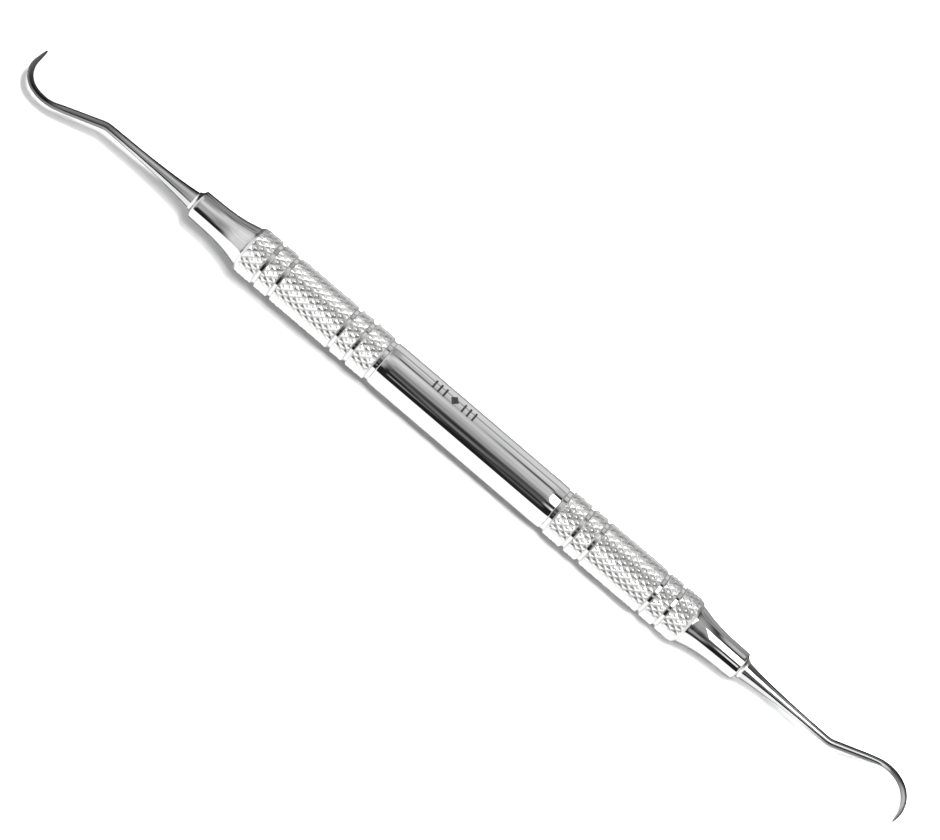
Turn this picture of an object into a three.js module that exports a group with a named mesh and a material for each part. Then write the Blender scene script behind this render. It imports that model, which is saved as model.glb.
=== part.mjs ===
// Double-ended hand scaler for dental work, in millimetres, +Z up.
//
// The handle's axis runs along X, midway between the two working ends, at the height at which the
// knurled bands lie on Z = 0. A smooth centre tube joins two knurled grips, each grip carries a
// polished cone, and a forged tip is brazed into each cone's mouth. Both hooks droop a little
// below the handle's axis, so the instrument lies steady.

import * as THREE from 'three';

// Handle. Every turned radius is half the distance across flats.
const FACETS = 24;
const BAND_RADIUS = 4.07;
const GROOVE_RADIUS = 3.64;
const TUBE_RADIUS = 3.88;
const TUBE_BORE_RADIUS = 2.95;
const TUBE_HALF_LENGTH = 17.15;
const EDGE_BREAK = 0.15;
const SHAFT_CLEARANCE = 0.05;
const END_CLEARANCE = 0.05;

// Grip: the ring grooves are given from the middle of the instrument outwards.
const SPIGOT_START = 11;
const GRIP_START = TUBE_HALF_LENGTH + END_CLEARANCE;
const GRIP_END = 44.1;
const FIRST_GROOVE_END = 17.85;
const FIRST_GROOVE_FLANK = 0.3;
const RING_GROOVES = [[21.38, 22.25], [24.5, 25.36], [36.52, 37.38], [39.66, 40.52]];
const GROOVE_FLANK = 0.2;
const GRIP_CHAMFER = 0.6;
const GRIP_BORE_RADIUS = 2.3;
const SOCKET_RADIUS = 2.65;
const SOCKET_DEPTH = 7.4;

// Cone: a concave flare from the grip's end face down to a slim mouth.
const CONE_START = GRIP_END + END_CLEARANCE;
const CONE_MOUTH = 54.35;
const CONE_FLARE_RADIUS = 3.5;
const CONE_NECK_RADIUS = 2.63;
const CONE_MOUTH_RADIUS = 2.45;
const CONE_FLARE_LENGTH = 2.8;
const CONE_FLARE_POWER = 1.4;
const CONE_STEPS = 12;
const CONE_STEP_GROWTH = 1.5;
const CONE_LIP = 0.3;
const CONE_SPIGOT_LENGTH = 6.9;
const TANG_BORE_RADIUS = 1.34;
const TANG_BORE_DEPTH = 9;

// Brazing fillet between a cone's mouth and the shank.
const FILLET_START = CONE_MOUTH + 0.03;
const FILLET_END = 55;
const FILLET_BASE_RADIUS = 2.15;
const FILLET_TOP_RADIUS = 1.8;
const FILLET_BORE_RADIUS = 1.68;
const FILLET_WAIST = 0.35;

// Tip: a round tang, a tapering shank, a knee, a terminal shank and a sickle blade in one plane.
const REACH = 87.5;
const HOOK_DROOP = THREE.MathUtils.degToRad(17);
const TANG_START = 45.8;
const TANG_RADIUS = 1.25;
const SHANK_START = FILLET_START;
const SHANK_ROOT_RADIUS = 1.6;
const SHANK_END_RADIUS = 0.6;
const SHANK_TAPER_LENGTH = 6.6;
const KNEE_BEND_RADIUS = 4;
const BLADE_LENGTH = 13.5;
const BLADE_HEIGHT = 0.92;
const BLADE_FACE_WIDTH = 0.85;
const BLADE_BLEND = 0.35;
const FLANK_DRAFT = 0.25;
const BACK_FLATNESS = 6;
const BACK_ROUNDING = 0.5;
const TOE_SCALE = 0.28;
const TOE_TAPER_POWER = 7.5;
const TOE_NOSE = 0.12;
const SECTION_POINTS = 16;
const STRAIGHT_SPACING = 1.5;
const BEND_SPACING = 0.6;

// The two hooks are bent by hand, so their knees and arcs differ a little.
// Turns are in degrees, and lengths and bend radii in millimetres.
const HOOKS = {
  right: {
    knee: 20, terminal: 7.4, heelRadius: 6.3, heelTurn: 44.5, toeRadius: 4.65, toeTurn: 68.5, toe: 1.1,
  },
  left: {
    knee: 20, terminal: 7.8, heelRadius: 6.8, heelTurn: 37, toeRadius: 3.3, toeTurn: 84, toe: 2.2,
  },
};

const polished = (color, roughness) => new THREE.MeshStandardMaterial({ color, roughness, metalness: 1 });

// Turns a closed outline of [x, radius] points about the X axis.
// One facet faces straight down, so that the handle rests on it.
function turned(name, outline, material) {
  const acrossCorners = 1 / Math.cos(Math.PI / FACETS);
  const points = outline.map(([x, radius]) => new THREE.Vector2(radius * acrossCorners, x));
  if (THREE.ShapeUtils.isClockWise(points)) {
    points.reverse();
  }
  points.push(points[0].clone());
  const geometry = new THREE.LatheGeometry(points, FACETS, Math.PI / FACETS);
  geometry.rotateZ(-Math.PI / 2);
  const mesh = new THREE.Mesh(geometry, material);
  mesh.name = name;
  return mesh;
}

function centreTube() {
  const half = TUBE_HALF_LENGTH;
  return turned('centre_tube', [
    [-half, TUBE_BORE_RADIUS],
    [-half, TUBE_RADIUS - EDGE_BREAK],
    [EDGE_BREAK - half, TUBE_RADIUS],
    [half - EDGE_BREAK, TUBE_RADIUS],
    [half, TUBE_RADIUS - EDGE_BREAK],
    [half, TUBE_BORE_RADIUS],
  ], polished(0xc9cbcc, 0.12));
}

// A grip is a knurled sleeve with a spigot that enters the centre tube and a socket for the cone.
function grip(name) {
  const outside = [
    [FIRST_GROOVE_END, GROOVE_RADIUS],
    [FIRST_GROOVE_END + FIRST_GROOVE_FLANK, BAND_RADIUS],
  ];
  for (const [start, end] of RING_GROOVES) {
    outside.push([start, BAND_RADIUS], [start + GROOVE_FLANK, GROOVE_RADIUS]);
    outside.push([end - GROOVE_FLANK, GROOVE_RADIUS], [end, BAND_RADIUS]);
  }
  return turned(name, [
    [SPIGOT_START, GRIP_BORE_RADIUS],
    [SPIGOT_START, TUBE_BORE_RADIUS - SHAFT_CLEARANCE],
    [GRIP_START, TUBE_BORE_RADIUS - SHAFT_CLEARANCE],
    [GRIP_START, GROOVE_RADIUS],
    ...outside,
    [GRIP_END - GRIP_CHAMFER, BAND_RADIUS],
    [GRIP_END, CONE_FLARE_RADIUS + EDGE_BREAK],
    [GRIP_END, SOCKET_RADIUS],
    [GRIP_END - SOCKET_DEPTH, SOCKET_RADIUS],
    [GRIP_END - SOCKET_DEPTH, GRIP_BORE_RADIUS],
  ], polished(0xbfc1c3, 0.35));
}

// The flare dies away smoothly from the grip's end face towards the mouth.
function coneRadius(x) {
  const along = (x - CONE_START) / (CONE_MOUTH - CONE_START);
  const body = THREE.MathUtils.lerp(CONE_NECK_RADIUS, CONE_MOUTH_RADIUS, along);
  const decay = ((x - CONE_START) / CONE_FLARE_LENGTH) ** CONE_FLARE_POWER;
  return body + (CONE_FLARE_RADIUS - CONE_NECK_RADIUS) * Math.exp(-decay);
}

function cone(name) {
  const outside = [];
  for (let i = 0; i <= CONE_STEPS; i += 1) {
    const t = (i / CONE_STEPS) ** CONE_STEP_GROWTH;
    const x = THREE.MathUtils.lerp(CONE_START, CONE_MOUTH - CONE_LIP, t);
    outside.push([x, coneRadius(x)]);
  }
  const spigotStart = CONE_START - CONE_SPIGOT_LENGTH;
  const boreEnd = CONE_MOUTH - TANG_BORE_DEPTH;
  return turned(name, [
    [spigotStart, 0],
    [spigotStart, SOCKET_RADIUS - SHAFT_CLEARANCE],
    [CONE_START, SOCKET_RADIUS - SHAFT_CLEARANCE],
    ...outside,
    [CONE_MOUTH, CONE_MOUTH_RADIUS - CONE_LIP],
    [CONE_MOUTH, TANG_BORE_RADIUS],
    [boreEnd, TANG_BORE_RADIUS],
    [boreEnd, 0],
  ], polished(0xc4c6c8, 0.1));
}

function brazeFillet(name) {
  const waist = THREE.MathUtils.lerp(FILLET_START, FILLET_END, FILLET_WAIST);
  return turned(name, [
    [FILLET_START, FILLET_BORE_RADIUS],
    [FILLET_START, FILLET_BASE_RADIUS],
    [waist, (FILLET_BASE_RADIUS + FILLET_TOP_RADIUS) / 2],
    [FILLET_END, FILLET_TOP_RADIUS],
    [FILLET_END, FILLET_BORE_RADIUS],
  ], polished(0xd8d6cf, 0.25));
}

// Walks along the tip's centreline and returns its stations, from the tang to the toe.
// Each station has a place in the hook's plane, a heading, and its distance along the centreline.
function centreline(hook) {
  const bend = (radius, degrees) => {
    const turn = THREE.MathUtils.degToRad(degrees);
    return { length: radius * Math.abs(turn), turn };
  };
  const runs = [
    bend(KNEE_BEND_RADIUS, hook.knee),
    { length: hook.terminal, turn: 0 },
    bend(hook.heelRadius, -hook.heelTurn),
    bend(hook.toeRadius, -hook.toeTurn),
    { length: hook.toe, turn: 0 },
  ];
  const stations = [{ x: 0, y: 0, heading: 0, along: 0 }];
  for (const { length, turn } of runs) {
    const steps = Math.ceil(length / (turn ? BEND_SPACING : STRAIGHT_SPACING));
    const halfStep = Math.abs(turn) / steps / 2;
    const chord = (length / steps) * (turn ? Math.sin(halfStep) / halfStep : 1);
    for (let i = 0; i < steps; i += 1) {
      const last = stations.at(-1);
      const middle = last.heading + turn / steps / 2;
      stations.push({
        x: last.x + chord * Math.cos(middle),
        y: last.y + chord * Math.sin(middle),
        heading: last.heading + turn / steps,
        along: last.along + length / steps,
      });
    }
  }
  const total = stations.at(-1).along;
  const outermost = Math.max(...stations.map((at) => at.x + bladeHeight(at.along, total) / 2));
  const kneeStart = REACH - outermost;
  const bent = stations.map((at) => ({ ...at, x: at.x + kneeStart }));
  const straight = [];
  const steps = Math.ceil((kneeStart - SHANK_START) / STRAIGHT_SPACING);
  for (let i = 0; i < steps; i += 1) {
    const x = THREE.MathUtils.lerp(SHANK_START, kneeStart, i / steps);
    straight.push({ x, y: 0, heading: 0, along: x - kneeStart });
  }
  return { stations: [...straight, ...bent], total };
}

const bladeFraction = (along, total) => Math.max(0, 1 - (total - along) / BLADE_LENGTH);

const toeTaper = (fraction) => 1 - (1 - TOE_SCALE) * fraction ** TOE_TAPER_POWER;

const bladeHeight = (along, total) => BLADE_HEIGHT * toeTaper(bladeFraction(along, total));

function shankRadius(x) {
  const root = SHANK_ROOT_RADIUS - SHANK_END_RADIUS;
  return SHANK_END_RADIUS + root * Math.exp((SHANK_START - x) / SHANK_TAPER_LENGTH);
}

// One point of a sickle section: a flat face on the hook's inner side, ending in two cutting edges,
// and two flanks that close towards the back.
function sicklePoint(angle, height, width) {
  const edgeAngle = Math.PI / 4;
  const side = Math.sign(Math.sin(angle));
  const swing = Math.acos(Math.cos(angle));
  if (swing <= edgeAngle) {
    return [height / 2, side * (width / 2) * Math.tan(swing)];
  }
  const back = (swing - edgeAngle) / (Math.PI - edgeAngle);
  const narrowing = (1 - FLANK_DRAFT * back) * (1 - back ** BACK_FLATNESS) ** BACK_ROUNDING;
  return [height * (0.5 - back), side * (width / 2) * narrowing];
}

function tipSection(station, total) {
  const fraction = bladeFraction(station.along, total);
  const blend = THREE.MathUtils.smoothstep(fraction, 0, BLADE_BLEND);
  const radius = shankRadius(station.x);
  const height = BLADE_HEIGHT * toeTaper(fraction);
  const width = BLADE_FACE_WIDTH * toeTaper(fraction);
  const section = [];
  for (let i = 0; i < SECTION_POINTS; i += 1) {
    const angle = (i / SECTION_POINTS) * 2 * Math.PI;
    const [inward, across] = sicklePoint(angle, height, width);
    section.push([
      THREE.MathUtils.lerp(radius * Math.cos(angle), inward, blend),
      THREE.MathUtils.lerp(radius * Math.sin(angle), across, blend),
    ]);
  }
  return section;
}

function tip(name, hook) {
  const { stations, total } = centreline(hook);
  const circle = [];
  for (let i = 0; i < SECTION_POINTS; i += 1) {
    const angle = (i / SECTION_POINTS) * 2 * Math.PI;
    circle.push([TANG_RADIUS * Math.cos(angle), TANG_RADIUS * Math.sin(angle)]);
  }
  const rings = [
    { x: TANG_START, y: 0, heading: 0, section: circle },
    { x: SHANK_START, y: 0, heading: 0, section: circle },
    ...stations.map((station) => ({ ...station, section: tipSection(station, total) })),
  ];
  const positions = [];
  for (const { x, y, heading, section } of rings) {
    for (const [inward, across] of section) {
      positions.push(x + inward * Math.sin(heading), y - inward * Math.cos(heading), across);
    }
  }
  const toe = rings.at(-1);
  const noseX = toe.x + TOE_NOSE * Math.cos(toe.heading);
  const noseY = toe.y + TOE_NOSE * Math.sin(toe.heading);
  positions.push(TANG_START, 0, 0, noseX, noseY, 0);
  const tangCentre = rings.length * SECTION_POINTS;
  const nose = tangCentre + 1;
  const indices = [];
  for (let i = 0; i < SECTION_POINTS; i += 1) {
    const next = (i + 1) % SECTION_POINTS;
    for (let ring = 0; ring < rings.length - 1; ring += 1) {
      const here = ring * SECTION_POINTS;
      const there = here + SECTION_POINTS;
      indices.push(here + i, there + i, there + next, here + i, there + next, here + next);
    }
    const last = (rings.length - 1) * SECTION_POINTS;
    indices.push(tangCentre, i, next, nose, last + next, last + i);
  }
  const geometry = new THREE.BufferGeometry();
  geometry.setAttribute('position', new THREE.Float32BufferAttribute(positions, 3));
  geometry.setIndex(indices);
  geometry.computeVertexNormals();
  const mesh = new THREE.Mesh(geometry, polished(0xb4b7ba, 0.18));
  mesh.name = name;
  return mesh;
}

// Everything outboard of the centre tube at one end. The left end is the right end turned half
// way round the vertical.
function workingEnd(name, side) {
  const end = new THREE.Group();
  const hook = tip(`${name}_tip`, HOOKS[name]);
  hook.rotation.x = -HOOK_DROOP;
  end.add(grip(`${name}_grip`), cone(`${name}_cone`), brazeFillet(`${name}_braze_fillet`), hook);
  end.rotation.z = side > 0 ? 0 : Math.PI;
  return end;
}

const scaler = new THREE.Group();
scaler.add(centreTube(), workingEnd('right', 1), workingEnd('left', -1));
scaler.position.z = BAND_RADIUS;

export default scaler;
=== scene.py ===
"""Looks of a double-ended dental hand scaler: polished, knurled and ground steel on a white table."""

import math

import bpy
import numpy as np
from mathutils import Matrix, Vector


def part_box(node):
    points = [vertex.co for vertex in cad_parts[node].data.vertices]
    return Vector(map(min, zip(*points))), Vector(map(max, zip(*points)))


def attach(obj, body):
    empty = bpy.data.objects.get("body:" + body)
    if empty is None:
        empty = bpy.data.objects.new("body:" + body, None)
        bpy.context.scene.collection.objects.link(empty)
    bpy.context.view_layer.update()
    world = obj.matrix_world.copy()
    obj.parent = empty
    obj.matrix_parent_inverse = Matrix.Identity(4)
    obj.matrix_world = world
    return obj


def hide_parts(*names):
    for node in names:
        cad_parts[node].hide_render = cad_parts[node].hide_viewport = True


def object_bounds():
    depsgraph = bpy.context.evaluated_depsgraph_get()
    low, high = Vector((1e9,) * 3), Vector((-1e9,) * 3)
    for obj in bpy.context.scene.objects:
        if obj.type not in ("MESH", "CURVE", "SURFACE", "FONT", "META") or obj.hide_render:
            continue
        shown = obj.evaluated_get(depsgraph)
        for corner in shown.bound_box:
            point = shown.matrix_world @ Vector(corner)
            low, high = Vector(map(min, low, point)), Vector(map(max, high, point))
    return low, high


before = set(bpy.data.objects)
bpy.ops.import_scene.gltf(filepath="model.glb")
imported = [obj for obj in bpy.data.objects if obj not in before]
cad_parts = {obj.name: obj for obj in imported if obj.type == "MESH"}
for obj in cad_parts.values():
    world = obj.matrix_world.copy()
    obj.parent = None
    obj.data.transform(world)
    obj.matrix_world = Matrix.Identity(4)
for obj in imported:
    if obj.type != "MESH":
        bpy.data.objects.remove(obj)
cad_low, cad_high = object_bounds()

MM = 0.001
SIDES = {"right": 1, "left": -1}

# The handle's axis lies along X, at the height of the grips' middle.
grip_low, grip_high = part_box("right_grip")
tube_low, tube_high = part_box("centre_tube")
cone_low, cone_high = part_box("right_cone")
fillet_low, fillet_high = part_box("right_braze_fillet")
tip_low, tip_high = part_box("right_tip")
AXIS_HEIGHT = (grip_low.z + grip_high.z) / 2 / MM

# Turned sizes in millimetres, as half diameters. Each piece's ends along X come from the frame, and what
# lies between them repeats the CAD's sizes.
END_CLEARANCE = 0.05
EDGE_BREAK = 0.15
BAND_RADIUS = (grip_high.z - grip_low.z) / 2 / MM
TUBE_RADIUS = (tube_high.z - tube_low.z) / 2 / MM
TUBE_HALF_LENGTH = tube_high.x / MM
# The buffed tube gets slimmer towards its ends: distance in from the end, and drop in radius.
TUBE_CROWN = ((2.4, 0.0), (1.9, 0.0), (1.5, 0.006), (1.1, 0.015), (0.7, 0.028), (0.3, 0.045), (0.0, 0.062))
TUBE_EDGE_ROUNDING = 0.2
TUBE_SEGMENTS = 192
TUBE_BORE_RADIUS = 2.95
GROOVE_RADIUS = 3.64
SPIGOT_START = grip_low.x / MM
SPIGOT_RADIUS = 2.9
GRIP_START = TUBE_HALF_LENGTH + END_CLEARANCE
GRIP_END = grip_high.x / MM
GRIP_BORE_RADIUS = 2.3
SOCKET_RADIUS = 2.65
SOCKET_DEPTH = 7.4
FIRST_GROOVE_END = 17.85
FIRST_GROOVE_FLANK = 0.3
RING_GROOVES = ((21.38, 22.25), (24.5, 25.36), (36.52, 37.38), (39.66, 40.52))
GROOVE_FLANK = 0.2
GROOVE_EDGE_BREAK = 0.05
GRIP_CHAMFER = 0.6

CONE_START = GRIP_END + END_CLEARANCE
CONE_MOUTH = cone_high.x / MM
CONE_SPIGOT_START = cone_low.x / MM
CONE_SPIGOT_RADIUS = 2.6
CONE_FLARE_RADIUS = 3.5
CONE_NECK_RADIUS = 2.63
CONE_MOUTH_RADIUS = 2.45
CONE_FLARE_LENGTH = 2.8
CONE_FLARE_POWER = 1.4
CONE_STEPS = 40
CONE_STEP_GROWTH = 1.5
CONE_LIP = 0.3
CONE_LIP_STEPS = 6
CONE_SEGMENTS = 160
TANG_BORE_RADIUS = 1.34
TANG_BORE_DEPTH = 9.0

# The filler thins out to 0.04 mm on the shank, finer than the CAD's ring.
FILLET_START = fillet_low.x / MM
FILLET_END = fillet_high.x / MM
FILLET_BASE_RADIUS = 2.15
FILLET_TOP_RADIUS = 1.68
FILLET_BORE_RADIUS = 1.64
FILLET_STEPS = 10
FILLET_SEGMENTS = 96

# Diamond knurling: two crossing sets of helical V grooves.
KNURL_STARTS = 22
KNURL_AXIAL_PITCH = 1.56
KNURL_DEPTH = 0.16
KNURL_STEPS = 12
KNURL_LAND_STEPS = 1
KNURL_SHARP_DEGREES = 30

# Tips: the same centreline and sections as the frame's, on a finer mesh.
# Each hook's plane is tilted about the handle's axis, which puts its bend lower and its toe higher.
REACH = tip_high.x / MM
HOOK_TILT = math.radians(17)
TANG_START = tip_low.x / MM
TANG_RADIUS = 1.25
SHANK_START = FILLET_START
SHANK_ROOT_RADIUS = 1.6
SHANK_END_RADIUS = 0.6
SHANK_TAPER_LENGTH = 6.6
KNEE_BEND_RADIUS = 4.0
BLADE_LENGTH = 13.5
BLADE_HEIGHT = 0.92
BLADE_FACE_WIDTH = 0.85
BLADE_BLEND = 0.35
FLANK_DRAFT = 0.25
BACK_FLATNESS = 6
BACK_ROUNDING = 0.5
TOE_SCALE = 0.28
TOE_TAPER_POWER = 7.5
TOE_NOSE = 0.12
SECTION_POINTS = 48
STATION_SPACING = 0.2
TIP_SHARP_DEGREES = 35
# The toe is closed by two smaller rings: their scale, and how far ahead as a share of the nose.
TOE_NOSE_RINGS = ((0.75, 0.4), (0.35, 0.8))
HOOKS = {
    "right": dict(knee=20, terminal=7.4, heel_radius=6.3, heel_turn=44.5,
                  toe_radius=4.65, toe_turn=68.5, toe=1.1),
    "left": dict(knee=20, terminal=7.8, heel_radius=6.8, heel_turn=37,
                 toe_radius=3.3, toe_turn=84, toe=2.2),
}

# Etched size band on the centre tube: its middle along X, its angle from the top towards +Y in degrees,
# and its bars' places in pitches from the middle. It is let into the steel and stands just proud of it.
MARK_MIDDLE = -5.0
MARK_ANGLE = 43
MARK_PITCH = 1.3
MARK_BARS = (-3, -2.2, -1.4, 1.4, 2.2, 3)
MARK_HALF_HEIGHT = 0.95
MARK_BAR_WIDTH = 0.34
MARK_DIAMOND_TIP = 0.03
MARK_DIAMOND_SPREAD = 0.75
MARK_PROUD = 0.004
MARK_DEPTH = 0.03
MARK_ROWS = 9
MARK_SHARP_DEGREES = 40

# Where along X, in millimetres, the tip steel turns darker in painted shade that stands in for the tips' dark
# reflections: first nearer the knee, then again towards the blade.
TIP_PAINTED_SHADE_REACH = (65, 74)
BLADE_PAINTED_SHADE_REACH = (79, 83)

# Camera and light, in metres and degrees; the framing shift is in millimetres along the picture's axes.
CAMERA_DISTANCE = 0.477
LENS = 120
SENSOR_WIDTH = 36
CLIP_START = 0.01
CAMERA_ROLL = 40.47
FRAMING = (0.17, 2.29)
FILL_LEVEL = 0.27
BACKDROP_LEVEL = 0.93
TABLE_HALF_SIZE = 3.0


# ---------------------------------------------------------------- mesh helpers

SHARP_DEGREES = 30.0

# Rounding of a turned outline: steps in an arc, the shallowest corner that gets one, the most of an edge
# that an arc may use, and the straight run-out on either side, as a share of the arc's reach.
ROUNDING_STEPS = 4
SHALLOWEST_CORNER = math.radians(12)
ARC_MAX_SHARE = 0.45
RUN_OUT_SHARE = 0.1


def placed(name, vertices, faces, material, sharp_degrees=SHARP_DEGREES):
    """A mesh object from points in millimetres about the handle's axis."""
    points = np.asarray(vertices, float) * MM
    points[:, 2] += AXIS_HEIGHT * MM
    mesh = bpy.data.meshes.new(name)
    mesh.from_pydata(points.tolist(), [], faces)
    mesh.materials.append(material)
    mesh.polygons.foreach_set("use_smooth", [True] * len(mesh.polygons))
    mesh.set_sharp_from_angle(angle=math.radians(sharp_degrees))
    mesh.update()
    piece = bpy.data.objects.new(name, mesh)
    bpy.context.scene.collection.objects.link(piece)
    return piece


def declare(piece, slot, *nodes):
    """The piece stands for those CAD nodes, which it hides, and hangs from the root body; slot is not used.
    """
    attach(piece, "root")
    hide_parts(*nodes)


def rounded(outline, radius):
    """Rounds each corner of a closed [x, radius] outline with a small arc, except on the axis."""
    count = len(outline)
    result = []
    for i, corner in enumerate(outline):
        before = np.array(outline[i - 1], float)
        here = np.array(corner, float)
        after = np.array(outline[(i + 1) % count], float)
        to_before = before - here
        to_after = after - here
        lengths = np.linalg.norm(to_before), np.linalg.norm(to_after)
        if here[1] <= 1e-9 or min(lengths) < 1e-6:
            result.append(tuple(here))
            continue
        to_before /= lengths[0]
        to_after /= lengths[1]
        turn = math.acos(float(np.clip(-to_before @ to_after, -1, 1)))
        if turn < SHALLOWEST_CORNER:
            result.append(tuple(here))
            continue
        reach = min(radius * math.tan(turn / 2), ARC_MAX_SHARE * min(lengths))
        start = here + to_before * reach
        end = here + to_after * reach
        result.append(tuple(start + to_before * RUN_OUT_SHARE * reach))
        for step in range(ROUNDING_STEPS + 1):
            t = step / ROUNDING_STEPS
            point = (1 - t) ** 2 * start + 2 * t * (1 - t) * here + t ** 2 * end
            result.append(tuple(point))
        result.append(tuple(end + to_after * RUN_OUT_SHARE * reach))
    return result


def closed_grid_faces(rows, columns):
    """Quads of a grid that closes on itself both ways; point number = row * columns + column."""
    row = np.arange(rows)[:, None]
    column = np.arange(columns)[None, :]
    next_row = (row + 1) % rows
    next_column = (column + 1) % columns
    corners = (row * columns + column, row * columns + next_column,
               next_row * columns + next_column, next_row * columns + column)
    return np.stack([c + 0 * row * column for c in corners], axis=-1).reshape(-1, 4)


def outline_area(outline):
    """Signed area of a closed [x, radius] outline; positive where it runs anticlockwise."""
    x, r = np.array(outline).T
    return 0.5 * float(np.sum(x * np.roll(r, -1) - np.roll(x, -1) * r))


def turned(name, outline, segments, side, material):
    """Turns a closed outline of [x, radius] points about the handle's axis."""
    if outline_area(outline) > 0:
        outline = outline[::-1]
    x, r = np.array(outline, float).T
    angles = np.linspace(0, 2 * math.pi, segments, endpoint=False)
    rows = len(x)
    vertices = np.empty((rows, segments, 3))
    vertices[..., 0] = x[:, None]
    vertices[..., 1] = r[:, None] * np.cos(angles)
    vertices[..., 2] = r[:, None] * np.sin(angles)
    faces = closed_grid_faces(rows, segments)
    return solid(name, vertices.reshape(-1, 3), faces.tolist(), side, material)


def solid(name, vertices, faces, side, material, sharp_degrees=SHARP_DEGREES):
    """Turns the left end's points half way round the vertical, and welds points that coincide."""
    points = np.array(vertices, float)
    points[:, :2] *= side
    keys = np.round(points, 6)
    unique, index = np.unique(keys, axis=0, return_inverse=True)
    index = index.reshape(-1)
    clean = []
    for face in faces:
        loop = [int(index[v]) for v in face]
        loop = [v for i, v in enumerate(loop) if v != loop[i - 1]]
        if len(set(loop)) >= 3:
            clean.append(loop)
    return placed(name, unique, clean, material, sharp_degrees)


# ---------------------------------------------------------------- turned pieces

def centre_tube(material):
    half = TUBE_HALF_LENGTH
    crown = [(half - inset, TUBE_RADIUS - drop) for inset, drop in TUBE_CROWN]
    outline = rounded([
        (-half, TUBE_BORE_RADIUS), *[(-x, radius) for x, radius in reversed(crown)],
        *crown, (half, TUBE_BORE_RADIUS),
    ], TUBE_EDGE_ROUNDING)
    piece = turned("centre_tube_polished", outline, TUBE_SEGMENTS, 1, material)
    declare(piece, "tube_steel", "centre_tube")


def ring_knots():
    """Places along X and radii of the grip's bands and ring grooves, before knurling."""
    knots = [(FIRST_GROOVE_END, GROOVE_RADIUS), (FIRST_GROOVE_END + FIRST_GROOVE_FLANK, BAND_RADIUS)]
    for start, end in RING_GROOVES:
        knots += [(start, BAND_RADIUS), (start + GROOVE_FLANK, GROOVE_RADIUS)]
        knots += [(end - GROOVE_FLANK, GROOVE_RADIUS), (end, BAND_RADIUS)]
    knots += [(GRIP_END - GRIP_CHAMFER, BAND_RADIUS), (GRIP_END, CONE_FLARE_RADIUS + EDGE_BREAK)]
    return zip(*knots)


def knurl_radius(x, angle):
    """Crest radius less the deeper of the two crossing V grooves."""
    turns = KNURL_STARTS * angle / (2 * math.pi)
    width = 0.5 - KNURL_LAND_STEPS / KNURL_STEPS
    depth = np.zeros(np.broadcast(x, angle).shape)
    for hand in (1, -1):
        phase = turns + hand * x / KNURL_AXIAL_PITCH
        offset = np.abs(phase - np.round(phase))
        depth = np.maximum(depth, KNURL_DEPTH * np.clip(1 - offset / width, 0, 1))
    return BAND_RADIUS - depth


def grip(name, side, material):
    """A knurled sleeve: a fine height field outside, and a plain turned spigot, bore and socket inside."""
    step = KNURL_AXIAL_PITCH / KNURL_STEPS
    lattice = np.arange(math.ceil(FIRST_GROOVE_END / step), math.floor(GRIP_END / step) + 1) * step
    places, radii = ring_knots()
    x_outer = np.unique(np.round(np.concatenate([lattice, places]), 6))
    segments = KNURL_STARTS * KNURL_STEPS
    angles = np.linspace(0, 2 * math.pi, segments, endpoint=False)
    bands = np.interp(x_outer, places, radii)[:, None]
    outer = np.minimum(bands, knurl_radius(x_outer[:, None], angles[None, :]))

    inner = [
        (GRIP_END, SOCKET_RADIUS), (GRIP_END - SOCKET_DEPTH, SOCKET_RADIUS),
        (GRIP_END - SOCKET_DEPTH, GRIP_BORE_RADIUS), (SPIGOT_START, GRIP_BORE_RADIUS),
        (SPIGOT_START, SPIGOT_RADIUS), (GRIP_START, SPIGOT_RADIUS),
        (GRIP_START, GROOVE_RADIUS - GROOVE_EDGE_BREAK), (GRIP_START + GROOVE_EDGE_BREAK, GROOVE_RADIUS),
    ]
    x_inner, r_inner = np.array(inner).T
    x = np.concatenate([x_outer, x_inner])
    r = np.concatenate([outer, np.repeat(r_inner[:, None], segments, axis=1)])
    vertices = np.empty((len(x), segments, 3))
    vertices[..., 0] = x[:, None]
    vertices[..., 1] = r * np.cos(angles)
    vertices[..., 2] = r * np.sin(angles)

    quads = closed_grid_faces(len(x), segments).reshape(len(x), segments, 4)[:, :, ::-1]
    faces = quads[len(x_outer) - 1:].reshape(-1, 4).tolist()
    knurled = quads[:len(x_outer) - 1].reshape(-1, 4)
    height = r.reshape(-1)[knurled]
    first_diagonal = np.abs(height[:, 0] - height[:, 2]) <= np.abs(height[:, 1] - height[:, 3])
    a, b, c, d = knurled.T
    split = np.where(first_diagonal[:, None],
                     np.stack([a, b, c, a, c, d], 1), np.stack([b, c, d, b, d, a], 1))
    faces += split.reshape(-1, 3).tolist()
    piece = solid(f"{name}_grip_knurled", vertices.reshape(-1, 3), faces, side, material, KNURL_SHARP_DEGREES)
    declare(piece, "knurled_steel", f"{name}_grip")


def cone_radius(x):
    """The flare dies away smoothly from the grip's end face towards the mouth."""
    along = (x - CONE_START) / (CONE_MOUTH - CONE_START)
    body = CONE_NECK_RADIUS + (CONE_MOUTH_RADIUS - CONE_NECK_RADIUS) * along
    decay = (max(0.0, x - CONE_START) / CONE_FLARE_LENGTH) ** CONE_FLARE_POWER
    return body + (CONE_FLARE_RADIUS - CONE_NECK_RADIUS) * math.exp(-decay)


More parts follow.
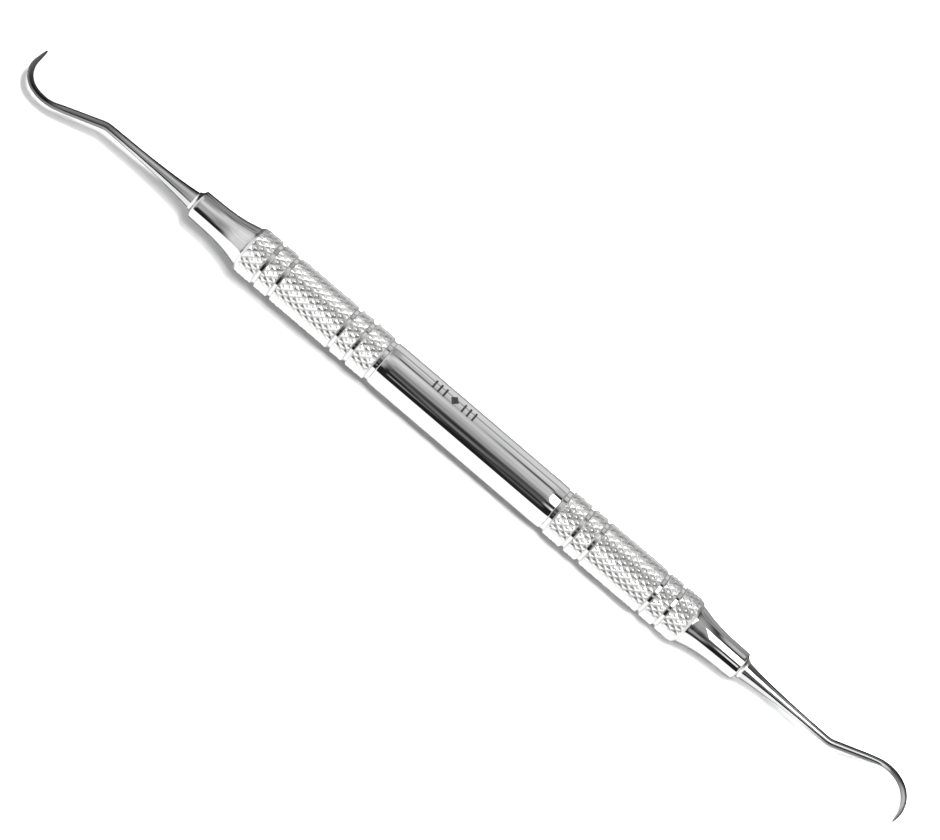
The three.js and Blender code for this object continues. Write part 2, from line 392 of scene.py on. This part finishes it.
def cone(name, side, material):
    """A polished socket: spigot, flare, slim neck with a rounded lip, and a blind bore for the tang."""
    lip_start = CONE_MOUTH - CONE_LIP
    outside = []
    for i in range(CONE_STEPS + 1):
        x = CONE_START + (lip_start - CONE_START) * (i / CONE_STEPS) ** CONE_STEP_GROWTH
        outside.append((x, cone_radius(x)))
    for i in range(1, CONE_LIP_STEPS + 1):
        turn = i / CONE_LIP_STEPS * math.pi / 2
        radius = CONE_MOUTH_RADIUS - CONE_LIP * (1 - math.cos(turn))
        outside.append((lip_start + CONE_LIP * math.sin(turn), radius))
    bore_end = CONE_MOUTH - TANG_BORE_DEPTH
    outline = [
        (CONE_SPIGOT_START, 0.0), (CONE_SPIGOT_START, CONE_SPIGOT_RADIUS), (CONE_START, CONE_SPIGOT_RADIUS),
        *outside,
        (CONE_MOUTH, TANG_BORE_RADIUS), (bore_end, TANG_BORE_RADIUS), (bore_end, 0.0),
    ]
    piece = turned(f"{name}_cone_polished", outline, CONE_SEGMENTS, side, material)
    declare(piece, "cone_steel", f"{name}_cone")


def braze_fillet(name, side, material):
    """A ring of filler with a concave outer surface that runs from the cone's lip onto the shank."""
    outline = [(FILLET_START, FILLET_BORE_RADIUS), (FILLET_START, FILLET_BASE_RADIUS)]
    for i in range(1, FILLET_STEPS + 1):
        t = i / FILLET_STEPS
        x = FILLET_START + (FILLET_END - FILLET_START) * t
        outline.append((x, FILLET_TOP_RADIUS + (FILLET_BASE_RADIUS - FILLET_TOP_RADIUS) * (1 - t) ** 2))
    outline.append((FILLET_END, FILLET_BORE_RADIUS))
    piece = turned(f"{name}_braze_ring", outline, FILLET_SEGMENTS, side, material)
    declare(piece, "braze", f"{name}_braze_fillet")


# ---------------------------------------------------------------- tips

def blade_fraction(along, total):
    return max(0.0, 1 - (total - along) / BLADE_LENGTH)


def toe_taper(fraction):
    return 1 - (1 - TOE_SCALE) * fraction ** TOE_TAPER_POWER


def shank_radius(x):
    root = SHANK_ROOT_RADIUS - SHANK_END_RADIUS
    return SHANK_END_RADIUS + root * math.exp((SHANK_START - x) / SHANK_TAPER_LENGTH)


def centreline(hook, spacing):
    """Stations (x, y, heading, along) from the shank's root to the toe, and the bent part's length."""
    runs = [
        (KNEE_BEND_RADIUS * math.radians(hook["knee"]), math.radians(hook["knee"])),
        (hook["terminal"], 0.0),
        (hook["heel_radius"] * math.radians(hook["heel_turn"]), -math.radians(hook["heel_turn"])),
        (hook["toe_radius"] * math.radians(hook["toe_turn"]), -math.radians(hook["toe_turn"])),
        (hook["toe"], 0.0),
    ]
    bent = [(0.0, 0.0, 0.0, 0.0)]
    for length, turn in runs:
        steps = math.ceil(length / spacing)
        for _ in range(steps):
            x, y, heading, along = bent[-1]
            middle = heading + turn / steps / 2
            bent.append((x + length / steps * math.cos(middle), y + length / steps * math.sin(middle),
                         heading + turn / steps, along + length / steps))
    total = bent[-1][3]
    outermost = max(x + BLADE_HEIGHT * toe_taper(blade_fraction(along, total)) / 2 for x, _, _, along in bent)
    knee_start = REACH - outermost
    steps = math.ceil((knee_start - SHANK_START) / spacing)
    stations = []
    for i in range(steps):
        x = SHANK_START + (knee_start - SHANK_START) * i / steps
        stations.append((x, 0.0, 0.0, x - knee_start))
    stations += [(x + knee_start, y, heading, along) for x, y, heading, along in bent]
    return stations, total


def sickle_section(angles, height, width):
    """Flat face inwards, two cutting edges at 45 degrees, and flanks that close towards the back."""
    edge = math.pi / 4
    swing = np.arccos(np.cos(angles))
    sign = np.sign(np.round(np.sin(angles), 9))
    back = np.clip((swing - edge) / (math.pi - edge), 0, 1)
    on_face = swing <= edge + 1e-9
    inward = np.where(on_face, height / 2, height * (0.5 - back))
    narrowing = (1 - FLANK_DRAFT * back) * (1 - back ** BACK_FLATNESS) ** BACK_ROUNDING
    across = width / 2 * np.where(on_face, np.tan(np.minimum(swing, edge)), narrowing)
    return inward, sign * across


def tip(name, side, material):
    """One forged piece: tang, shank, knee, terminal shank and sickle blade, lofted along its centreline."""
    points = SECTION_POINTS
    stations, total = centreline(HOOKS[name], STATION_SPACING)
    angles = np.linspace(0, 2 * math.pi, points, endpoint=False)
    round_section = np.cos(angles), np.sin(angles)
    rings = [(TANG_START, 0.0, 0.0, TANG_RADIUS * round_section[0], TANG_RADIUS * round_section[1]),
             (SHANK_START, 0.0, 0.0, TANG_RADIUS * round_section[0], TANG_RADIUS * round_section[1])]
    for x, y, heading, along in stations:
        fraction = blade_fraction(along, total)
        t = min(fraction / BLADE_BLEND, 1.0)
        blend = t * t * (3 - 2 * t)
        radius = shank_radius(x)
        inward, across = sickle_section(angles, BLADE_HEIGHT * toe_taper(fraction),
                                        BLADE_FACE_WIDTH * toe_taper(fraction))
        rings.append((x, y, heading, (1 - blend) * radius * round_section[0] + blend * inward,
                      (1 - blend) * radius * round_section[1] + blend * across))
    x, y, heading, inward, across = rings[-1]
    for scale, advance in TOE_NOSE_RINGS:
        ahead = advance * TOE_NOSE
        rings.append((x + ahead * math.cos(heading), y + ahead * math.sin(heading), heading,
                      scale * inward, scale * across))
    vertices = []
    for x, y, heading, inward, across in rings:
        ring = np.stack([x + inward * math.sin(heading), y - inward * math.cos(heading), across], axis=1)
        vertices.append(ring)
    x, y, heading = rings[-3][:3]
    ends = [(TANG_START, 0.0, 0.0), (x + TOE_NOSE * math.cos(heading), y + TOE_NOSE * math.sin(heading), 0.0)]
    vertices = np.concatenate([*vertices, np.array(ends)])
    tilt = np.array(Matrix.Rotation(-HOOK_TILT, 3, "X"))
    vertices = vertices @ tilt.T
    last = (len(rings) - 1) * points
    tang_centre = len(rings) * points
    faces = []
    for i in range(points):
        following = (i + 1) % points
        for start in range(0, last, points):
            faces.append((start + i, start + points + i, start + points + following, start + following))
        faces.append((tang_centre, i, following))
        faces.append((tang_centre + 1, last + following, last + i))
    piece = solid(f"{name}_tip_forged", vertices, faces, side, material, TIP_SHARP_DEGREES)
    declare(piece, "tip_steel", f"{name}_tip")


# ---------------------------------------------------------------- etched mark

def etched_mark(material):
    """A plain size band, etched into the centre tube: six upright bars with a diamond in the middle."""
    outer = TUBE_RADIUS + MARK_PROUD
    inner = TUBE_RADIUS - MARK_DEPTH
    middle_angle = math.radians(MARK_ANGLE)
    shapes = [(MARK_MIDDLE + k * MARK_PITCH, "bar") for k in MARK_BARS]
    shapes.append((MARK_MIDDLE, "diamond"))
    rows = MARK_ROWS
    vertices = []
    faces = []
    for centre, kind in shapes:
        start = len(vertices)
        for i in range(rows):
            t = 2 * i / (rows - 1) - 1
            if kind == "bar":
                half_width = MARK_BAR_WIDTH / 2
            else:
                half_width = MARK_DIAMOND_TIP + MARK_DIAMOND_SPREAD * (1 - abs(t))
            angle = middle_angle + t * MARK_HALF_HEIGHT / TUBE_RADIUS
            for radius in (outer, inner):
                for x in (centre - half_width, centre + half_width):
                    vertices.append((x, radius * math.sin(angle), radius * math.cos(angle)))
        for i in range(rows - 1):
            a = start + 4 * i
            b = a + 4
            faces += [(a, a + 1, b + 1, b), (a + 2, b + 2, b + 3, a + 3), (a, b, b + 2, a + 2),
                      (a + 1, a + 3, b + 3, b + 1)]
        end = start + 4 * (rows - 1)
        faces += [(start, start + 2, start + 3, start + 1), (end, end + 1, end + 3, end + 2)]
    piece = placed("etched_size_band", vertices, faces, material, MARK_SHARP_DEGREES)
    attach(piece, "root")


# ---------------------------------------------------------------- materials

class Graph:
    """A short way to write a node tree."""

    def __init__(self, tree):
        self.tree = tree
        tree.nodes.clear()

    def node(self, kind, inputs=None, **settings):
        node = self.tree.nodes.new(kind)
        for key, value in settings.items():
            setattr(node, key, value)
        for key, value in (inputs or {}).items():
            self.feed(node.inputs[key], value)
        return node

    def feed(self, socket, value):
        if isinstance(value, bpy.types.NodeSocket):
            self.tree.links.new(value, socket)
        else:
            socket.default_value = value

    def math(self, operation, *values):
        node = self.node("ShaderNodeMath", operation=operation)
        for socket, value in zip(node.inputs, values):
            self.feed(socket, value)
        return node.outputs[0]

    def smooth(self, value, low, high, to_low=0.0, to_high=1.0):
        node = self.node("ShaderNodeMapRange", interpolation_type="SMOOTHSTEP")
        for key, number in zip(("Value", "From Min", "From Max", "To Min", "To Max"),
                               (value, low, high, to_low, to_high)):
            self.feed(node.inputs[key], number)
        return node.outputs["Result"]

    def mix(self, factor, a, b):
        node = self.node("ShaderNodeMix", data_type="FLOAT")
        for index, value in zip((0, 2, 3), (factor, a, b)):
            self.feed(node.inputs[index], value)
        return node.outputs[0]

    def mix_colour(self, factor, a, b):
        node = self.node("ShaderNodeMix", data_type="RGBA")
        for index, value in zip((0, 6, 7), (factor, a, b)):
            self.feed(node.inputs[index], value)
        return node.outputs[2]

    def noise(self, scale, detail=2.0, roughness=0.5):
        """Noise over the object's own place, with a scale per millimetre along X, Y and Z."""
        place = self.node("ShaderNodeTexCoord").outputs["Object"]
        mapping = self.node("ShaderNodeMapping", {"Vector": place})
        mapping.inputs["Scale"].default_value = [s / MM for s in scale]
        noise = self.node("ShaderNodeTexNoise", {"Vector": mapping.outputs[0]})
        noise.inputs["Scale"].default_value = 1.0
        noise.inputs["Detail"].default_value = detail
        noise.inputs["Roughness"].default_value = roughness
        return noise.outputs["Fac"]

    def axis_distance(self):
        """Distance from the handle's axis in millimetres."""
        place = self.node("ShaderNodeTexCoord").outputs["Object"]
        split = self.node("ShaderNodeSeparateXYZ", {0: place})
        y = self.math("DIVIDE", split.outputs["Y"], MM)
        z = self.math("SUBTRACT", self.math("DIVIDE", split.outputs["Z"], MM), AXIS_HEIGHT)
        return self.math("SQRT", self.math("ADD", self.math("MULTIPLY", y, y), self.math("MULTIPLY", z, z)))

    def steel_sees(self):
        """One for a reflection that is seen directly, and zero for every other ray."""
        rays = self.node("ShaderNodeLightPath")
        direct = self.math("LESS_THAN", rays.outputs["Diffuse Depth"], 0.5)
        return self.math("MULTIPLY", rays.outputs["Is Glossy Ray"], direct)

    def bump(self, height, distance_mm):
        node = self.node("ShaderNodeBump", {"Height": height})
        node.inputs["Distance"].default_value = distance_mm * MM
        node.inputs["Strength"].default_value = 1.0
        return node.outputs["Normal"]


def grey(value, warmth=0.0):
    return (value * (1 + warmth), value, value * (1 - warmth), 1.0)


def steel(graph, colour, roughness, normal):
    """Ends a material's graph with a metallic surface."""
    surface = graph.node("ShaderNodeBsdfPrincipled", {"Base Color": colour, "Roughness": roughness})
    surface.inputs["Metallic"].default_value = 1.0
    graph.feed(surface.inputs["Normal"], normal)
    graph.node("ShaderNodeOutputMaterial", {"Surface": surface.outputs[0]})


def new_material(name):
    material = bpy.data.materials.new(name)
    material.use_nodes = True
    return material, Graph(material.node_tree)


def polished_steel(name, level, base_roughness, line_depth):
    """Turned and buffed steel: faint lines run round the axis, with soft smudges over them."""
    material, graph = new_material(name)
    lines = graph.noise((5.0, 0.15, 0.15), 4.0, 0.7)
    smudges = graph.noise((0.22, 0.5, 0.5), 3.0)
    colour = graph.mix_colour(smudges, grey(level * 0.94, -0.008), grey(level * 1.06, 0.004))
    roughness = graph.smooth(smudges, 0.3, 0.75, base_roughness, base_roughness * 2.2)
    steel(graph, colour, roughness, graph.bump(lines, line_depth))
    return material


def knurled_steel():
    """Bright worn crests, duller and darker V cuts, and fine pitting."""
    material, graph = new_material("knurled_stainless")
    distance = graph.axis_distance()
    crest = graph.smooth(distance, BAND_RADIUS - KNURL_DEPTH, BAND_RADIUS - 0.02)
    ring = graph.smooth(distance, GROOVE_RADIUS + 0.08, GROOVE_RADIUS + 0.04)
    pits = graph.noise((7.0, 7.0, 7.0), 4.0, 0.65)
    wear = graph.noise((0.6, 0.9, 0.9), 3.0)
    worn = graph.math("MULTIPLY", crest, graph.smooth(wear, 0.2, 0.7, 0.7, 1.0))
    colour = graph.mix_colour(worn, grey(0.62, 0.01), grey(0.78))
    roughness = graph.mix(worn, 0.32, 0.24)
    colour = graph.mix_colour(ring, colour, grey(0.6))
    roughness = graph.mix(ring, roughness, 0.05)
    pit_height = graph.math("MULTIPLY", pits, graph.math("SUBTRACT", 1.0, ring))
    steel(graph, colour, roughness, graph.bump(pit_height, 0.003))
    return material


def ground_steel():
    """Steel ground lengthwise, with fine lines along the shank, and painted shade that darkens it in two
    steps towards the blade.
    """
    material, graph = new_material("ground_tip_steel")
    lines = graph.noise((0.5, 9.0, 9.0), 4.0, 0.7)
    tone = graph.noise((0.25, 0.8, 0.8), 3.0)
    place = graph.node("ShaderNodeTexCoord").outputs["Object"]
    reach = graph.math("ABSOLUTE", graph.node("ShaderNodeSeparateXYZ", {0: place}).outputs["X"])
    # Painted shade: the tip steel's colour steps darker along X, standing in for the dark reflections along
    # the tips.
    tip_painted_shade = graph.smooth(reach, TIP_PAINTED_SHADE_REACH[0] * MM, TIP_PAINTED_SHADE_REACH[1] * MM)
    blade_painted_shade = graph.smooth(reach, BLADE_PAINTED_SHADE_REACH[0] * MM, BLADE_PAINTED_SHADE_REACH[1] * MM)
    colour = graph.mix_colour(tone, grey(0.44, -0.01), grey(0.54))
    colour = graph.mix_colour(tip_painted_shade, colour, graph.mix_colour(tone, grey(0.15, -0.01), grey(0.21)))
    colour = graph.mix_colour(blade_painted_shade, colour, graph.mix_colour(tone, grey(0.09, -0.01), grey(0.13)))
    roughness = graph.smooth(tone, 0.3, 0.7, 0.06, 0.12)
    steel(graph, colour, roughness, graph.bump(lines, 0.004))
    return material


def braze_alloy():
    """Silver brazing filler: slightly warm, buffed, with soft flow ripples."""
    material, graph = new_material("silver_braze")
    ripples = graph.noise((2.2, 1.6, 1.6), 3.0, 0.6)
    colour = graph.mix_colour(ripples, grey(0.7, 0.03), grey(0.86, 0.02))
    roughness = graph.smooth(ripples, 0.3, 0.7, 0.2, 0.36)
    steel(graph, colour, roughness, graph.bump(ripples, 0.03))
    return material


def etched_oxide():
    """Black oxide left by electrolytic marking, a little uneven."""
    material, graph = new_material("etched_oxide")
    grain = graph.noise((9.0, 9.0, 9.0), 4.0, 0.7)
    colour = graph.mix_colour(grain, grey(0.004), grey(0.035))
    roughness = graph.smooth(grain, 0.3, 0.7, 0.45, 0.75)
    surface = graph.node("ShaderNodeBsdfPrincipled", {"Base Color": colour, "Roughness": roughness})
    surface.inputs["Specular IOR Level"].default_value = 0.08
    graph.feed(surface.inputs["Normal"], graph.bump(grain, 0.004))
    graph.node("ShaderNodeOutputMaterial", {"Surface": surface.outputs[0]})
    return material


# ---------------------------------------------------------------- studio

# Brightness of the studio seen in the steel. Each section is taken at one angle from the YZ plane
# towards +X, and lists levels against the angle about the X axis from overhead towards +Y, in degrees:
# a white table tent with a dark gap overhead for the camera, and a bright panel on the +X, +Y side.
TENT = {
    -60: ((-180, 1.3), (180, 1.3)),
    -30: ((-52, 1.75), (-48, 1.1), (-43, 0.75), (-38, 1.05), (55, 1.1), (72, 0.95), (84, 0.5), (180, 0.45)),
    -13: ((-53, 1.75), (-50.5, 0.02), (-33, 0.02), (-24, 0.42), (-2, 0.42), (12, 0.5), (32, 0.95), (60, 1.0),
          (72, 0.4), (92, 0.05), (180, 0.2)),
    -8: ((-53, 1.75), (-50.5, 0.02), (-21, 0.02), (-15, 0.6), (15, 0.62), (24, 1.05), (36, 1.0), (48, 0.6),
         (62, 0.4), (84, 0.35), (92, 0.2), (180, 0.4)),
    -4: ((-53, 1.75), (-50.5, 0.02), (-12, 0.03), (-6, 0.15), (4, 0.2), (12, 0.5), (24, 0.75), (45, 1.0),
         (55, 0.8), (60, 0.3), (68, 0.6), (180, 0.8)),
    -1.5: ((-53, 1.75), (-50.5, 0.02), (-35, 0.02), (-30, 0.5), (-25.5, 0.02), (-17, 0.02), (-12, 0.28),
           (-7, 0.1), (2, 0.1), (10, 0.5), (18, 0.42), (26, 0.7), (37, 0.95), (50, 1.05), (57, 0.7),
           (59, 0.1), (64, 0.1), (67, 0.75), (82, 0.85), (88, 1.1), (180, 1.0)),
    0: ((-53, 1.75), (-50.5, 0.02), (-26, 0.02), (-20, 0.3), (-15, 0.3), (-10, 0.08), (-6, 0.02), (-2, 0.03),
        (4, 0.16), (10, 0.5), (20, 0.52), (30, 0.62), (42, 0.82), (62, 0.74), (76, 0.92), (180, 0.92)),
    1.5: ((-53, 1.75), (-50.5, 0.02), (-36, 0.04), (-30, 0.2), (-24, 0.03), (-19, 0.04), (-12, 0.18),
          (0, 0.08), (4, 0.16), (11, 0.48), (17, 0.4), (23, 0.74), (45, 0.86), (54, 0.8), (58, 0.1),
          (63, 0.1), (67, 0.7), (74, 1.05), (180, 1.0)),
    5: ((-53, 1.75), (-50.5, 0.02), (-21, 0.02), (-18, 0.8), (-11, 0.8), (-8, 0.02), (0, 0.05), (4, 0.5),
        (45, 0.8), (48, 0.05), (58, 0.05), (62, 0.7), (85, 0.8), (180, 0.7)),
    9: ((-53, 1.75), (-50.5, 0.02), (-21, 0.02), (-18, 1.5), (-11, 1.5), (-8, 0.02), (0, 0.05), (5, 0.6),
        (44, 0.8), (47, 0.02), (58, 0.02), (62, 0.5), (75, 0.9), (88, 0.65), (180, 0.5)),
    16: ((-53, 1.75), (-50.5, 0.02), (-26, 0.02), (-18, 0.3), (-6, 0.1), (2, 0.3), (12, 0.8), (44, 0.8),
         (50, 0.1), (92, 0.06), (108, 0.4), (180, 0.4)),
    30: ((-53, 1.75), (-49, 0.05), (-38, 0.05), (-30, 0.6), (-21, 0.5), (-16, 0.05), (-10, 0.05), (4, 0.16),
         (14, 0.48), (30, 0.58), (50, 0.58), (84, 0.38), (100, 0.45), (180, 0.5)),
    55: ((-180, 1.3), (180, 1.3)),
}
TENT_PEAK = 2.0

# The bright panel, in degrees: its start and end along X, where the end slants by a share of the angle about
# the axis; its lower edge, which is lifted near the panel's start by less and less; and its upper edge.
PANEL_LEVEL = 5.0
PANEL_START = (3.3, 3.8)
PANEL_END = (21.0, 19.8)
PANEL_SLANT = 0.165
PANEL_LOWER = (5, 8)
PANEL_LIFT = 45
PANEL_LIFT_FALL = 9
PANEL_UPPER = (47, 45)


def brightness_ramp(graph, value, low, high, levels):
    """Piecewise linear levels over a value from low to high."""
    factor = graph.math("DIVIDE", graph.math("SUBTRACT", value, low), high - low)
    ramp = graph.node("ShaderNodeValToRGB", {0: factor})
    stops = ramp.color_ramp.elements
    while len(stops) < len(levels):
        stops.new(0.5)
    for stop, (place, level) in zip(stops, levels):
        stop.position = (place - low) / (high - low)
        stop.color = grey(level / TENT_PEAK)
    return graph.math("MULTIPLY", ramp.outputs["Color"], TENT_PEAK)


def tent_brightness(graph, direction):
    """The tent's sections blended along X, with soft folds in its cloth, and the panel over them."""
    split = graph.node("ShaderNodeSeparateXYZ", {0: direction})
    about = graph.math("DEGREES", graph.math("ARCTAN2", split.outputs["Y"], split.outputs["Z"]))
    along = graph.math("DEGREES", graph.math("ARCSINE", split.outputs["X"]))
    places = list(TENT)
    base = brightness_ramp(graph, about, -180, 180, TENT[places[0]])
    for before, after in zip(places, places[1:]):
        section = brightness_ramp(graph, about, -180, 180, TENT[after])
        base = graph.mix(graph.smooth(along, before, after), base, section)
    folds = graph.node("ShaderNodeTexNoise", {"Vector": direction})
    folds.inputs["Scale"].default_value = 6.0
    folds.inputs["Detail"].default_value = 2.0
    base = graph.math("MULTIPLY", base, graph.smooth(folds.outputs["Fac"], 0.3, 0.7, 0.9, 1.1))

    slant = graph.math("SUBTRACT", along, graph.math("MULTIPLY", about, PANEL_SLANT))
    panel = graph.math("MULTIPLY", graph.smooth(along, *PANEL_START), graph.smooth(slant, *PANEL_END))
    lift = graph.math("SUBTRACT", PANEL_LIFT, graph.math("MULTIPLY", along, PANEL_LIFT_FALL))
    lift = graph.math("MAXIMUM", lift, 0.0)
    panel = graph.math("MULTIPLY", panel, graph.smooth(graph.math("SUBTRACT", about, lift), *PANEL_LOWER))
    panel = graph.math("MULTIPLY", panel, graph.smooth(about, *PANEL_UPPER))
    return graph.mix(panel, base, PANEL_LEVEL)


def studio_world():
    """The steel sees the tent; the table gets a soft even fill; the backdrop is pale."""
    world = bpy.data.worlds.new("studio")
    world.use_nodes = True
    bpy.context.scene.world = world
    graph = Graph(world.node_tree)
    direction = graph.node("ShaderNodeTexCoord").outputs["Generated"]
    rays = graph.node("ShaderNodeLightPath")
    tent = tent_brightness(graph, direction)
    plain = graph.mix(rays.outputs["Is Camera Ray"], FILL_LEVEL, BACKDROP_LEVEL)
    level = graph.mix(graph.steel_sees(), plain, tent)
    background = graph.node("ShaderNodeBackground", {"Color": (1, 1, 1, 1), "Strength": level})
    graph.node("ShaderNodeOutputWorld", {"Surface": background.outputs[0]})


# Brightness of the table's painted glow, which only the steel sees, against millimetres along X: painted
# shade beside the object on the +Y side, further out on that side, and beside the object on the -Y side, a
# painted shadow where its own shadow lies.
TABLE_NEAR = ((-58, 0.02), (-54, 0.08), (-46, 0.15), (-42, 0.55), (42, 0.55), (45, 0.48), (57, 0.4),
              (62, 0.08))
TABLE_FAR = ((-58, 0.03), (-54, 0.4), (-46, 0.45), (-42, 1.02), (42, 1.02), (45, 0.6), (56, 0.4),
             (61, 0.05))
TABLE_SHADOW = ((-45, 0.35), (-43, 1.3), (43, 1.3), (45, 0.5), (62, 0.5), (70, 1.6))
TABLE_SPAN = 100

# Where these hand over to one another, in millimetres along Y, and the level beyond them on either side.
NEAR_TO_FAR = (7.5, 11)
FAR_TO_OPEN = (35, 50)
OPEN_LEVEL = 0.5
SHADOW_EDGE = (-8.5, -6.5)
UNSHADED_LEVEL = 1.75
SIDES_MEET = (-3, 3)


def table_material():
    """Matt white board with a faint tooth; in the steel it shows a painted glow instead, brighter on the key
    light's far side.
    """
    material, graph = new_material("white_table")
    grain = graph.noise((0.8, 0.8, 0.8), 3.0)
    colour = graph.mix_colour(grain, grey(0.84), grey(0.86))
    matt = graph.node("ShaderNodeBsdfDiffuse", {"Color": colour})
    split = graph.node("ShaderNodeSeparateXYZ", {0: graph.node("ShaderNodeTexCoord").outputs["Object"]})
    across = graph.math("DIVIDE", split.outputs["Y"], MM)
    along = graph.math("DIVIDE", split.outputs["X"], MM)
    near = brightness_ramp(graph, along, -TABLE_SPAN, TABLE_SPAN, TABLE_NEAR)
    far = brightness_ramp(graph, along, -TABLE_SPAN, TABLE_SPAN, TABLE_FAR)
    shaded = brightness_ramp(graph, along, -TABLE_SPAN, TABLE_SPAN, TABLE_SHADOW)
    away = graph.mix(graph.smooth(across, *NEAR_TO_FAR), near, far)
    away = graph.mix(graph.smooth(across, *FAR_TO_OPEN), away, OPEN_LEVEL)
    toward = graph.mix(graph.smooth(across, *SHADOW_EDGE), UNSHADED_LEVEL, shaded)
    seen = graph.mix(graph.smooth(across, *SIDES_MEET), toward, away)
    # Painted reflection: this glow, not the lit board, is what the steel sees of the table, with painted
    # shade and a painted shadow near the object.
    glow = graph.node("ShaderNodeEmission", {"Color": (1, 1, 1, 1), "Strength": seen})
    surface = graph.node("ShaderNodeMixShader", {0: graph.steel_sees(), 1: matt.outputs[0],
                                                 2: glow.outputs[0]})
    graph.node("ShaderNodeOutputMaterial", {"Surface": surface.outputs[0]})
    return material


def table():
    half = TABLE_HALF_SIZE
    corners = [(-half, -half, 0), (half, -half, 0), (half, half, 0), (-half, half, 0)]
    mesh = bpy.data.meshes.new("white_table")
    mesh.from_pydata(corners, [], [(0, 1, 2, 3)])
    mesh.materials.append(table_material())
    board = bpy.data.objects.new("white_table", mesh)
    board.location.z = cad_low.z
    bpy.context.scene.collection.objects.link(board)


# Each soft box: its place, the point it is aimed at, its size, its power in watts and its spread in degrees.
SOFT_BOXES = {
    "key_soft_box": ((0.12, 0.52, 1.06), (0.0, 0.0, 0.0), 0.16, 17.0, 180),
    "top_soft_box": ((0.030, 0.080, 0.290), (0.030, 0.0, 0.0), 0.075, 0.12, 40),
    "right_tip_soft_box": ((0.100, 0.0, 0.300), (0.100, 0.0, 0.0), 0.05, 0.018, 26),
    "left_tip_soft_box": ((-0.100, 0.0, 0.300), (-0.100, 0.0, 0.0), 0.05, 0.008, 26),
}


def soft_box(name, place, target, size, watts, spread):
    """A light that the table sees and the steel does not; the steel sees the tent instead."""
    light = bpy.data.lights.new(name, "AREA")
    light.shape = "SQUARE"
    light.size = size
    light.energy = watts
    light.spread = math.radians(spread)
    lamp = bpy.data.objects.new(name, light)
    lamp.location = place
    lamp.rotation_euler = (Vector(target) - Vector(place)).to_track_quat("-Z", "Y").to_euler()
    lamp.visible_glossy = False
    lamp.visible_camera = False
    bpy.context.scene.collection.objects.link(lamp)


def camera():
    """Straight down, rolled so that the handle runs from upper left to lower right."""
    data = bpy.data.cameras.new("overhead")
    data.lens = LENS
    data.sensor_width = SENSOR_WIDTH
    data.clip_start = CLIP_START
    eye = bpy.data.objects.new("overhead", data)
    roll = math.radians(CAMERA_ROLL)
    right = Vector((math.cos(roll), math.sin(roll), 0))
    up = Vector((-math.sin(roll), math.cos(roll), 0))
    middle = (cad_low + cad_high) / 2
    eye.location = middle + (right * FRAMING[0] + up * FRAMING[1]) * MM + Vector((0, 0, CAMERA_DISTANCE))
    eye.rotation_euler = (0, 0, roll)
    bpy.context.scene.collection.objects.link(eye)
    bpy.context.scene.camera = eye


def build():
    tube_steel = polished_steel("polished_tube_steel", 0.62, 0.025, 0.0004)
    cone_steel = polished_steel("mirror_cone_steel", 0.62, 0.025, 0.0003)
    knurl = knurled_steel()
    ground = ground_steel()
    braze = braze_alloy()
    centre_tube(tube_steel)
    for name, side in SIDES.items():
        grip(name, side, knurl)
        cone(name, side, cone_steel)
        braze_fillet(name, side, braze)
        tip(name, side, ground)
    etched_mark(etched_oxide())
    table()
    for name, settings in SOFT_BOXES.items():
        soft_box(name, *settings)
    studio_world()
    camera()
    bpy.context.scene.view_settings.view_transform = "Standard"


build()
